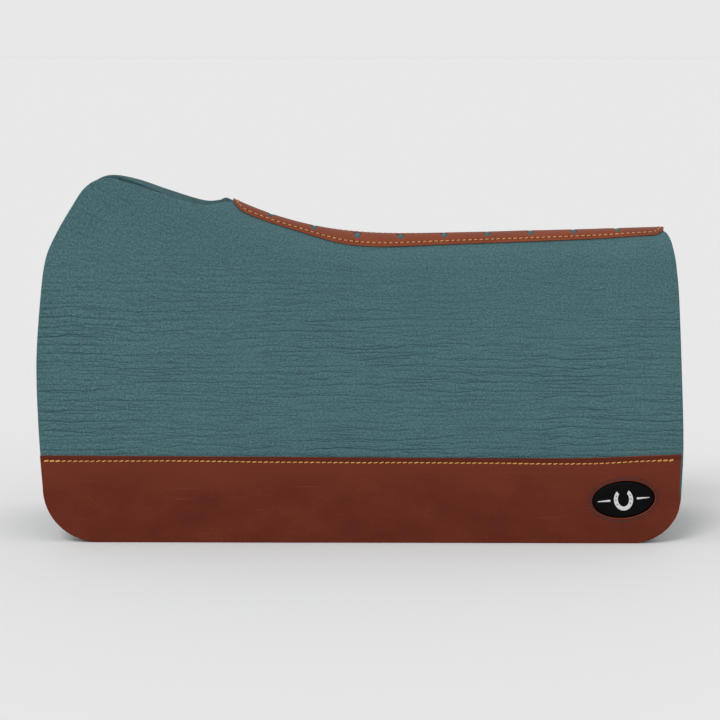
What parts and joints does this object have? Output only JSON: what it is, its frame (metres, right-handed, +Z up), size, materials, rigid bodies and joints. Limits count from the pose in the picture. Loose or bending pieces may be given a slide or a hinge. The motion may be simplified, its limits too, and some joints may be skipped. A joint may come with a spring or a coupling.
{
  "type": "western saddle pad",
  "caption": "Contoured wool felt saddle pad with a withers notch, stitched leather along the spine and a leather wear band with a badge on each flap.",
  "frame": {"origin": "on the floor under the middle of the pad's length and width", "axes": "+Z up, +X along the pad towards its rear end with the withers end at -X, +Y towards the off side"},
  "size_m": [0.7601, 0.2162, 0.421],
  "materials": {
    "felt": "dense pressed wool felt, teal, matte",
    "wear_leather": "reddish brown pull-up leather, satin",
    "spine_leather": "lighter reddish brown pull-up leather, satin",
    "thread": "waxed golden tan thread",
    "badge": "smooth black badge with a plain light grey horseshoe",
    "badge_thread": "dark fine thread"
  },
  "bodies": {
    "near_side": {"felt_near": "felt", "wear_leather_near": "wear_leather", "wear_leather_stitching_near": "thread", "badge_near": "badge", "badge_stitching_near": "badge_thread", "spine_leather": "spine_leather", "spine_stitching": "thread"},
    "off_side": {"felt_off": "felt", "wear_leather_off": "wear_leather", "wear_leather_stitching_off": "thread", "badge_off": "badge", "badge_stitching_off": "badge_thread"}
  },
  "joints": [
    {"name": "spine_fold", "type": "hinge", "parent": "near_side", "child": "off_side", "pos_m": [0, -0.0085, 0.3835], "axis": [0.9978, 0, -0.0667], "range_deg": [0, 45], "deforming": ["spine_leather", "spine_stitching"]}
  ]
}
